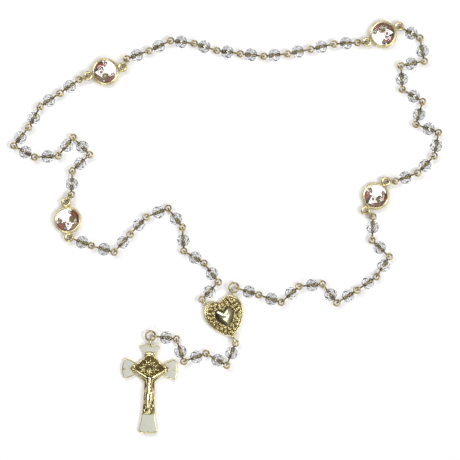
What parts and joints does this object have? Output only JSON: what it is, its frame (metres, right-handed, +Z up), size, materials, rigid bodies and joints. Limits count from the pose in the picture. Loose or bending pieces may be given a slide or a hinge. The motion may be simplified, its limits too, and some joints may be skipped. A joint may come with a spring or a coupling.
{
  "type": "rosary",
  "caption": "Rosary laid in an open loop: faceted clear beads on eye pins, domed picture medallions, a heart centre medal and a short pendant ending in an enamelled crucifix.",
  "frame": {"origin": "middle of the heart medal's flat back, on the table", "axes": "+X to the right of the laid loop, +Y away from the crucifix, +Z up from the table"},
  "size_m": [0.1862, 0.1778, 0.006],
  "materials": {
    "crystal": "faceted, polished",
    "wire": "polished gold tone",
    "casting": "gold plated casting",
    "dome": "polished clear dome",
    "figure": "gold plated casting"
  },
  "bodies": {
    "heart": {"heart_medal": "casting", "heart_jump_ring": "wire"},
    "decade_1_bead_1": {"decade_1_bead_1": "crystal"},
    "decade_1_beads_2_3": {"decade_1_beads_2_3": "crystal"},
    "decade_1_bead_4": {"decade_1_bead_4": "crystal"},
    "decade_1_beads_5_6": {"decade_1_beads_5_6": "crystal"},
    "decade_1_bead_7": {"decade_1_bead_7": "crystal"},
    "decade_1_beads_8_9": {"decade_1_beads_8_9": "crystal"},
    "decade_1_bead_10": {"decade_1_bead_10": "crystal"},
    "medallion_1": {"medallion_1_bezel": "casting", "medallion_1_dome": "dome"},
    "decade_2_bead_1": {"decade_2_bead_1": "crystal"},
    "decade_2_beads_2_3": {"decade_2_beads_2_3": "crystal"},
    "decade_2_bead_4": {"decade_2_bead_4": "crystal"},
    "decade_2_beads_5_6": {"decade_2_beads_5_6": "crystal"},
    "decade_2_bead_7": {"decade_2_bead_7": "crystal"},
    "decade_2_beads_8_9": {"decade_2_beads_8_9": "crystal"},
    "decade_2_bead_10": {"decade_2_bead_10": "crystal"},
    "medallion_2": {"medallion_2_bezel": "casting", "medallion_2_dome": "dome"},
    "decade_3_bead_1": {"decade_3_bead_1": "crystal"},
    "decade_3_beads_2_3": {"decade_3_beads_2_3": "crystal"},
    "decade_3_bead_4": {"decade_3_bead_4": "crystal"},
    "decade_3_beads_5_6": {"decade_3_beads_5_6": "crystal"},
    "decade_3_bead_7": {"decade_3_bead_7": "crystal"},
    "decade_3_beads_8_9": {"decade_3_beads_8_9": "crystal"},
    "decade_3_bead_10": {"decade_3_bead_10": "crystal"},
    "medallion_3": {"medallion_3_bezel": "casting", "medallion_3_dome": "dome"},
    "decade_4_bead_1": {"decade_4_bead_1": "crystal"},
    "decade_4_beads_2_3": {"decade_4_beads_2_3": "crystal"},
    "decade_4_bead_4": {"decade_4_bead_4": "crystal"},
    "decade_4_beads_5_6": {"decade_4_beads_5_6": "crystal"},
    "decade_4_bead_7": {"decade_4_bead_7": "crystal"},
    "decade_4_beads_8_9": {"decade_4_beads_8_9": "crystal"},
    "decade_4_bead_10": {"decade_4_bead_10": "crystal"},
    "medallion_4": {"medallion_4_bezel": "casting", "medallion_4_dome": "dome"},
    "decade_5_bead_1": {"decade_5_bead_1": "crystal"},
    "decade_5_beads_2_3": {"decade_5_beads_2_3": "crystal"},
    "decade_5_bead_4": {"decade_5_bead_4": "crystal"},
    "decade_5_beads_5_6": {"decade_5_beads_5_6": "crystal"},
    "decade_5_bead_7": {"decade_5_bead_7": "crystal"},
    "decade_5_beads_8_9": {"decade_5_beads_8_9": "crystal"},
    "decade_5_bead_10": {"decade_5_bead_10": "crystal"},
    "pendant_pin_1": {"pendant_pin_1": "wire"},
    "pendant_bead_1": {"pendant_bead_1": "crystal"},
    "pendant_pin_2": {"pendant_pin_2": "wire"},
    "pendant_bead_2": {"pendant_bead_2": "crystal"},
    "pendant_pin_3": {"pendant_pin_3": "wire"},
    "pendant_bead_3": {"pendant_bead_3": "crystal"},
    "pendant_pin_4": {"pendant_pin_4": "wire"},
    "pendant_bead_4": {"pendant_bead_4": "crystal"},
    "pendant_pin_5": {"pendant_pin_5": "wire"},
    "pendant_bead_5": {"pendant_bead_5": "crystal"},
    "crucifix_ring": {"crucifix_jump_ring": "wire"},
    "crucifix": {"cross": "casting", "corpus": "figure"}
  },
  "joints": [
    {"name": "decade_1_bead_1_swing", "type": "hinge", "parent": "heart", "child": "decade_1_bead_1", "pos_m": [-0.01002, 0.00734, 0.003], "axis": [0, 0, 1], "range_deg": [-20, 20]},
    {"name": "decade_1_beads_2_3_swing", "type": "hinge", "parent": "decade_1_bead_1", "child": "decade_1_beads_2_3", "pos_m": [-0.00307, 0.0148, 0.003], "axis": [0, 0, 1], "range_deg": [-20, 20]},
    {"name": "decade_1_bead_4_swing", "type": "hinge", "parent": "decade_1_beads_2_3", "child": "decade_1_bead_4", "pos_m": [-0.01795, 0.0282, 0.003], "axis": [0, 0, 1], "range_deg": [-20, 20]},
    {"name": "decade_1_beads_5_6_swing", "type": "hinge", "parent": "decade_1_bead_4", "child": "decade_1_beads_5_6", "pos_m": [-0.01848, 0.03839, 0.003], "axis": [0, 0, 1], "range_deg": [-20, 20]},
    {"name": "decade_1_bead_7_swing", "type": "hinge", "parent": "decade_1_beads_5_6", "child": "decade_1_bead_7", "pos_m": [-0.03408, 0.04271, 0.003], "axis": [0, 0, 1], "range_deg": [-20, 20]},
    {"name": "decade_1_beads_8_9_swing", "type": "hinge", "parent": "decade_1_bead_7", "child": "decade_1_beads_8_9", "pos_m": [-0.04104, 0.03525, 0.003], "axis": [0, 0, 1], "range_deg": [-20, 20]},
    {"name": "decade_1_bead_10_swing", "type": "hinge", "parent": "decade_1_beads_8_9", "child": "decade_1_bead_10", "pos_m": [-0.05767, 0.03048, 0.003], "axis": [0, 0, 1], "range_deg": [-20, 18]},
    {"name": "medallion_1_swing", "type": "hinge", "parent": "decade_1_bead_10", "child": "medallion_1", "pos_m": [-0.06725, 0.03397, 0.003], "axis": [0, 0, 1], "range_deg": [-18, 20]},
    {"name": "decade_2_bead_1_swing", "type": "hinge", "parent": "medallion_1", "child": "decade_2_bead_1", "pos_m": [-0.06621, 0.05249, 0.003], "axis": [0, 0, 1], "range_deg": [-20, 20]},
    {"name": "decade_2_beads_2_3_swing", "type": "hinge", "parent": "decade_2_bead_1", "child": "decade_2_beads_2_3", "pos_m": [-0.06585, 0.06269, 0.003], "axis": [0, 0, 1], "range_deg": [-20, 20]},
    {"name": "decade_2_bead_4_swing", "type": "hinge", "parent": "decade_2_beads_2_3", "child": "decade_2_bead_4", "pos_m": [-0.06548, 0.07698, 0.003], "axis": [0, 0, 1], "range_deg": [-3, 9]},
    {"name": "decade_2_beads_5_6_swing", "type": "hinge", "parent": "decade_2_bead_4", "child": "decade_2_beads_5_6", "pos_m": [-0.0719, 0.06905, 0.003], "axis": [0, 0, 1], "range_deg": [-18, 6]},
    {"name": "decade_2_bead_7_swing", "type": "hinge", "parent": "decade_2_beads_5_6", "child": "decade_2_bead_7", "pos_m": [-0.09101, 0.07347, 0.003], "axis": [0, 0, 1], "range_deg": [-6, 18]},
    {"name": "decade_2_beads_8_9_swing", "type": "hinge", "parent": "decade_2_bead_7", "child": "decade_2_beads_8_9", "pos_m": [-0.08459, 0.08139, 0.003], "axis": [0, 0, 1], "range_deg": [-9, 3]},
    {"name": "decade_2_bead_10_swing", "type": "hinge", "parent": "decade_2_beads_8_9", "child": "decade_2_bead_10", "pos_m": [-0.07118, 0.09602, 0.003], "axis": [0, 0, 1], "range_deg": [-20, 20]},
    {"name": "medallion_2_swing", "type": "hinge", "parent": "decade_2_bead_10", "child": "medallion_2", "pos_m": [-0.06283, 0.10187, 0.003], "axis": [0, 0, 1], "range_deg": [-20, 20]},
    {"name": "decade_3_bead_1_swing", "type": "hinge", "parent": "medallion_2", "child": "decade_3_bead_1", "pos_m": [-0.04235, 0.1108, 0.003], "axis": [0, 0, 1], "range_deg": [-20, 20]},
    {"name": "decade_3_beads_2_3_swing", "type": "hinge", "parent": "decade_3_bead_1", "child": "decade_3_beads_2_3", "pos_m": [-0.03276, 0.11429, 0.003], "axis": [0, 0, 1], "range_deg": [-20, 20]},
    {"name": "decade_3_bead_4_swing", "type": "hinge", "parent": "decade_3_beads_2_3", "child": "decade_3_bead_4", "pos_m": [-0.01339, 0.11736, 0.003], "axis": [0, 0, 1], "range_deg": [-15, 15]},
    {"name": "decade_3_beads_5_6_swing", "type": "hinge", "parent": "decade_3_bead_4", "child": "decade_3_beads_5_6", "pos_m": [-0.00364, 0.11437, 0.003], "axis": [0, 0, 1], "range_deg": [-15, 15]},
    {"name": "decade_3_bead_7_swing", "type": "hinge", "parent": "decade_3_beads_5_6", "child": "decade_3_bead_7", "pos_m": [0.01661, 0.11189, 0.003], "axis": [0, 0, 1], "range_deg": [-20, 20]},
    {"name": "decade_3_beads_8_9_swing", "type": "hinge", "parent": "decade_3_bead_7", "child": "decade_3_beads_8_9", "pos_m": [0.02675, 0.11295, 0.003], "axis": [0, 0, 1], "range_deg": [-20, 20]},
    {"name": "decade_3_bead_10_swing", "type": "hinge", "parent": "decade_3_beads_8_9", "child": "decade_3_bead_10", "pos_m": [0.0467, 0.11719, 0.003], "axis": [0, 0, 1], "range_deg": [-9, 3]},
    {"name": "medallion_3_swing", "type": "hinge", "parent": "decade_3_bead_10", "child": "medallion_3", "pos_m": [0.05689, 0.11773, 0.003], "axis": [0, 0, 1], "range_deg": [-3, 9]},
    {"name": "decade_4_bead_1_swing", "type": "hinge", "parent": "medallion_3", "child": "decade_4_bead_1", "pos_m": [0.07466, 0.12475, 0.003], "axis": [0, 0, 1], "range_deg": [-9, 3]},
    {"name": "decade_4_beads_2_3_swing", "type": "hinge", "parent": "decade_4_bead_1", "child": "decade_4_beads_2_3", "pos_m": [0.08358, 0.11981, 0.003], "axis": [0, 0, 1], "range_deg": [-3, 9]},
    {"name": "decade_4_bead_4_swing", "type": "hinge", "parent": "decade_4_beads_2_3", "child": "decade_4_bead_4", "pos_m": [0.07551, 0.10785, 0.003], "axis": [0, 0, 1], "range_deg": [-20, 20]},
    {"name": "decade_4_beads_5_6_swing", "type": "hinge", "parent": "decade_4_bead_4", "child": "decade_4_beads_5_6", "pos_m": [0.07605, 0.09766, 0.003], "axis": [0, 0, 1], "range_deg": [-20, 20]},
    {"name": "decade_4_bead_7_swing", "type": "hinge", "parent": "decade_4_beads_5_6", "child": "decade_4_bead_7", "pos_m": [0.08198, 0.0826, 0.003], "axis": [0, 0, 1], "range_deg": [-20, 18]},
    {"name": "decade_4_beads_8_9_swing", "type": "hinge", "parent": "decade_4_bead_7", "child": "decade_4_beads_8_9", "pos_m": [0.09156, 0.07911, 0.003], "axis": [0, 0, 1], "range_deg": [-18, 20]},
    {"name": "decade_4_bead_10_swing", "type": "hinge", "parent": "decade_4_beads_8_9", "child": "decade_4_bead_10", "pos_m": [0.08271, 0.06173, 0.003], "axis": [0, 0, 1], "range_deg": [-20, 20]},
    {"name": "medallion_4_swing", "type": "hinge", "parent": "decade_4_bead_10", "child": "medallion_4", "pos_m": [0.07312, 0.05824, 0.003], "axis": [0, 0, 1], "range_deg": [-20, 20]},
    {"name": "decade_5_bead_1_swing", "type": "hinge", "parent": "medallion_4", "child": "decade_5_bead_1", "pos_m": [0.06344, 0.04293, 0.003], "axis": [0, 0, 1], "range_deg": [-20, 20]},
    {"name": "decade_5_beads_2_3_swing", "type": "hinge", "parent": "decade_5_bead_1", "child": "decade_5_beads_2_3", "pos_m": [0.06309, 0.03273, 0.003], "axis": [0, 0, 1], "range_deg": [-20, 20]},
    {"name": "decade_5_bead_4_swing", "type": "hinge", "parent": "decade_5_beads_2_3", "child": "decade_5_bead_4", "pos_m": [0.06492, 0.0171, 0.003], "axis": [0, 0, 1], "range_deg": [-20, 20]},
    {"name": "decade_5_beads_5_6_swing", "type": "hinge", "parent": "decade_5_bead_4", "child": "decade_5_beads_5_6", "pos_m": [0.05656, 0.01125, 0.003], "axis": [0, 0, 1], "range_deg": [-20, 20]},
    {"name": "decade_5_bead_7_swing", "type": "hinge", "parent": "decade_5_beads_5_6", "child": "decade_5_bead_7", "pos_m": [0.04177, 0.01399, 0.003], "axis": [0, 0, 1], "range_deg": [-20, 20]},
    {"name": "decade_5_beads_8_9_swing", "type": "hinge", "parent": "decade_5_bead_7", "child": "decade_5_beads_8_9", "pos_m": [0.03163, 0.01292, 0.003], "axis": [0, 0, 1], "range_deg": [-20, 20]},
    {"name": "decade_5_bead_10_swing", "type": "hinge", "parent": "decade_5_beads_8_9", "child": "decade_5_bead_10", "pos_m": [0.01434, 0.0093, 0.003], "axis": [0, 0, 1], "range_deg": [-15, 15]},
    {"name": "pendant_pin_1_swing", "type": "hinge", "parent": "heart", "child": "pendant_pin_1", "pos_m": [0.00433, -0.01151, 0.003], "axis": [0, 0, 1], "range_deg": [-12, 15]},
    {"name": "pendant_pin_2_swing", "type": "hinge", "parent": "pendant_pin_1", "child": "pendant_pin_2", "pos_m": [0.00051, -0.02097, 0.003], "axis": [0, 0, 1], "range_deg": [-8, 20]},
    {"name": "pendant_pin_3_swing", "type": "hinge", "parent": "pendant_pin_2", "child": "pendant_pin_3", "pos_m": [-0.00833, -0.01587, 0.003], "axis": [0, 0, 1], "range_deg": [-15, 20]},
    {"name": "pendant_pin_4_swing", "type": "hinge", "parent": "pendant_pin_3", "child": "pendant_pin_4", "pos_m": [-0.01791, -0.01936, 0.003], "axis": [0, 0, 1], "range_deg": [-12, 20]},
    {"name": "pendant_pin_5_swing", "type": "hinge", "parent": "pendant_pin_4", "child": "pendant_pin_5", "pos_m": [-0.02106, -0.00966, 0.003], "axis": [0, 0, 1], "range_deg": [-15, 15]},
    {"name": "crucifix_ring_swing", "type": "hinge", "parent": "pendant_pin_5", "child": "crucifix_ring", "pos_m": [-0.03119, -0.00842, 0.003], "axis": [0, 0, 1], "range_deg": [-20, 0]},
    {"name": "crucifix_lift", "type": "hinge", "parent": "crucifix_ring", "child": "crucifix", "pos_m": [-0.03223, -0.01039, 0.003], "axis": [-0.9996, 0.0279, 0], "range_deg": [0, 60]},
    {"name": "pendant_bead_1_spin", "type": "hinge", "parent": "pendant_pin_1", "child": "pendant_bead_1", "pos_m": [0.00265, -0.01566, 0.003], "axis": [-0.3746, -0.9272, 0], "continuous": true},
    {"name": "pendant_bead_2_spin", "type": "hinge", "parent": "pendant_pin_2", "child": "pendant_bead_2", "pos_m": [-0.00337, -0.01873, 0.003], "axis": [-0.866, 0.5, 0], "continuous": true},
    {"name": "pendant_bead_3_spin", "type": "hinge", "parent": "pendant_pin_3", "child": "pendant_bead_3", "pos_m": [-0.01253, -0.0174, 0.003], "axis": [-0.9397, -0.342, 0], "continuous": true},
    {"name": "pendant_bead_4_spin", "type": "hinge", "parent": "pendant_pin_4", "child": "pendant_bead_4", "pos_m": [-0.01929, -0.0151, 0.003], "axis": [-0.309, 0.9511, 0], "continuous": true},
    {"name": "pendant_bead_5_spin", "type": "hinge", "parent": "pendant_pin_5", "child": "pendant_bead_5", "pos_m": [-0.02551, -0.00911, 0.003], "axis": [-0.9925, 0.1219, 0], "continuous": true}
  ],
  "couplings": [
    {"joint": "decade_1_beads_2_3_swing", "follows": "decade_1_bead_1_swing", "ratio": -1},
    {"joint": "decade_1_bead_7_swing", "follows": "decade_1_bead_1_swing", "ratio": 1},
    {"joint": "decade_1_beads_8_9_swing", "follows": "decade_1_bead_1_swing", "ratio": -1},
    {"joint": "decade_1_beads_5_6_swing", "follows": "decade_1_bead_4_swing", "ratio": -1},
    {"joint": "decade_4_bead_4_swing", "follows": "decade_1_bead_4_swing", "ratio": 1},
    {"joint": "decade_4_beads_5_6_swing", "follows": "decade_1_bead_4_swing", "ratio": -1},
    {"joint": "medallion_1_swing", "follows": "decade_1_bead_10_swing", "ratio": -1},
    {"joint": "decade_4_bead_7_swing", "follows": "decade_1_bead_10_swing", "ratio": 1},
    {"joint": "decade_4_beads_8_9_swing", "follows": "decade_1_bead_10_swing", "ratio": -1},
    {"joint": "decade_2_beads_2_3_swing", "follows": "decade_2_bead_1_swing", "ratio": -1},
    {"joint": "decade_5_bead_1_swing", "follows": "decade_2_bead_1_swing", "ratio": 1},
    {"joint": "decade_5_beads_2_3_swing", "follows": "decade_2_bead_1_swing", "ratio": -1},
    {"joint": "decade_2_beads_5_6_swing", "follows": "decade_2_bead_4_swing", "ratio": -2},
    {"joint": "decade_2_bead_7_swing", "follows": "decade_2_bead_4_swing", "ratio": 2},
    {"joint": "decade_2_beads_8_9_swing", "follows": "decade_2_bead_4_swing", "ratio": -1},
    {"joint": "decade_3_bead_10_swing", "follows": "decade_2_bead_4_swing", "ratio": -1},
    {"joint": "medallion_3_swing", "follows": "decade_2_bead_4_swing", "ratio": 1},
    {"joint": "decade_4_bead_1_swing", "follows": "decade_2_bead_4_swing", "ratio": -1},
    {"joint": "decade_4_beads_2_3_swing", "follows": "decade_2_bead_4_swing", "ratio": 1},
    {"joint": "medallion_2_swing", "follows": "decade_2_bead_10_swing", "ratio": -1},
    {"joint": "decade_5_bead_4_swing", "follows": "decade_2_bead_10_swing", "ratio": 1},
    {"joint": "decade_5_beads_5_6_swing", "follows": "decade_2_bead_10_swing", "ratio": -1},
    {"joint": "decade_3_beads_2_3_swing", "follows": "decade_3_bead_1_swing", "ratio": -1},
    {"joint": "decade_4_bead_10_swing", "follows": "decade_3_bead_1_swing", "ratio": 1},
    {"joint": "medallion_4_swing", "follows": "decade_3_bead_1_swing", "ratio": -1},
    {"joint": "decade_3_beads_5_6_swing", "follows": "decade_3_bead_4_swing", "ratio": -1},
    {"joint": "decade_5_bead_10_swing", "follows": "decade_3_bead_4_swing", "ratio": 1},
    {"joint": "decade_3_beads_8_9_swing", "follows": "decade_3_bead_7_swing", "ratio": -1},
    {"joint": "decade_5_bead_7_swing", "follows": "decade_3_bead_7_swing", "ratio": 1},
    {"joint": "decade_5_beads_8_9_swing", "follows": "decade_3_bead_7_swing", "ratio": -1}
  ]
}
